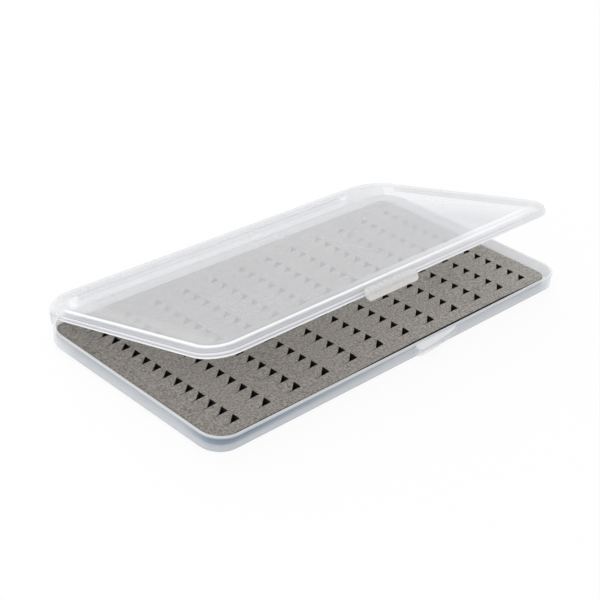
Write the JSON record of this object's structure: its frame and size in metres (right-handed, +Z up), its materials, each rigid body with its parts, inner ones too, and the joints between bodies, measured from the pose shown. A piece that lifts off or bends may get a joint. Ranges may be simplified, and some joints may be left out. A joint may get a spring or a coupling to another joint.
{
  "type": "fly box",
  "caption": "Slim frosted plastic fly box with a hinged cover, a latch tab and a slotted grey foam liner",
  "frame": {"origin": "centre of the tray's flat underside, halfway along its length and depth", "axes": "+X along the length toward the finger-lip end, +Y toward the hinge, +Z up out of the open tray"},
  "size_m": [0.188, 0.1058, 0.0352],
  "materials": {
    "frosted_plastic_base": "frosted translucent polypropylene, satin outside, cool grey where it is thick",
    "frosted_plastic_lid": "frosted translucent polypropylene, smooth and milky",
    "frosted_plastic_hinge": "polypropylene web thinned until it flexes, stress-whitened",
    "frosted_plastic_tab": "translucent polypropylene, smooth",
    "grey_foam": "closed-cell foam, matt warm grey with fine speckle, die-cut triangular slots",
    "adhesive_film": "dark double-sided adhesive film, matt"
  },
  "bodies": {
    "base": {"tray": "frosted_plastic_base", "foam_insert": "grey_foam", "adhesive_sheet": "adhesive_film", "living_hinge": "frosted_plastic_hinge"},
    "lid": {"lid_cover": "frosted_plastic_lid"},
    "tab": {"latch_tab": "frosted_plastic_tab"}
  },
  "joints": [
    {"name": "lid_hinge", "type": "hinge", "parent": "base", "child": "lid", "pos_m": [0, 0.05535, 0.0048], "axis": [-1, 0, 0], "range_deg": [-15.7, 164.3]},
    {"name": "tab_flex", "type": "hinge", "parent": "lid", "child": "tab", "pos_m": [0, -0.04066, 0.03407], "axis": [-1, 0, 0], "range_deg": [0, 25], "stiffness_Nm_per_rad": 0.05}
  ]
}
